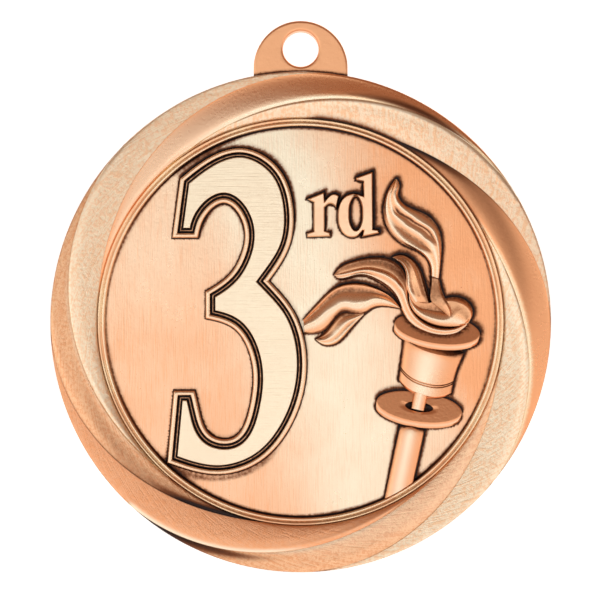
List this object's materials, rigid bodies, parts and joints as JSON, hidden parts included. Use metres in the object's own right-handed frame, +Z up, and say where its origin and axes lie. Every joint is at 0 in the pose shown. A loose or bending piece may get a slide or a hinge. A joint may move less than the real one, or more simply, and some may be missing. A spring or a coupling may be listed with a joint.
{
  "type": "finisher medal",
  "caption": "Round die-cast finisher medal, antique copper, with a hanging eye, a swirled border, a large ordinal numeral and a torch in relief.",
  "frame": {"origin": "centre of the hanging hole, halfway through the tab", "axes": "+Z up, from the disc to the hanging hole; the struck face looks along -Y; +X to the right of the face"},
  "size_m": [0.06, 0.0035, 0.0661],
  "materials": {
    "copper_field": "antique copper plate, satin, finely brushed, blackened beside the relief",
    "copper_tab": "antique copper plate, smooth satin",
    "copper_bead": "antique copper plate, polished line",
    "copper_outline": "antique copper plate, polished high relief",
    "copper_numeral": "antique copper plate, brushed high relief",
    "copper_letters": "antique copper plate, polished high relief",
    "copper_blasted": "antique copper plate, sand-blasted grain",
    "copper_smooth": "antique copper plate, smooth and darker",
    "copper_flames": "antique copper plate, worn bright on the crests",
    "copper_torch": "antique copper plate, worn bright on the crests"
  },
  "bodies": {
    "root": {"blank_disc": "copper_field", "hanging_tab": "copper_tab", "field_bead": "copper_bead", "border_band_1": "copper_blasted", "border_ramp_1": "copper_smooth", "border_band_2": "copper_blasted", "border_ramp_2": "copper_smooth", "border_band_3": "copper_blasted", "border_ramp_3": "copper_smooth", "border_band_4": "copper_blasted", "border_ramp_4": "copper_smooth", "numeral_outline": "copper_outline", "numeral_face": "copper_numeral", "letter_r": "copper_letters", "letter_d": "copper_letters", "flame_tall": "copper_flames", "flame_stem": "copper_flames", "flame_long": "copper_flames", "flame_roll": "copper_flames", "flame_curl": "copper_flames", "flame_low": "copper_flames", "torch_lip": "copper_torch", "torch_cup": "copper_torch", "torch_neck": "copper_torch", "torch_guard": "copper_torch", "torch_handle": "copper_torch"}
  },
  "joints": []
}
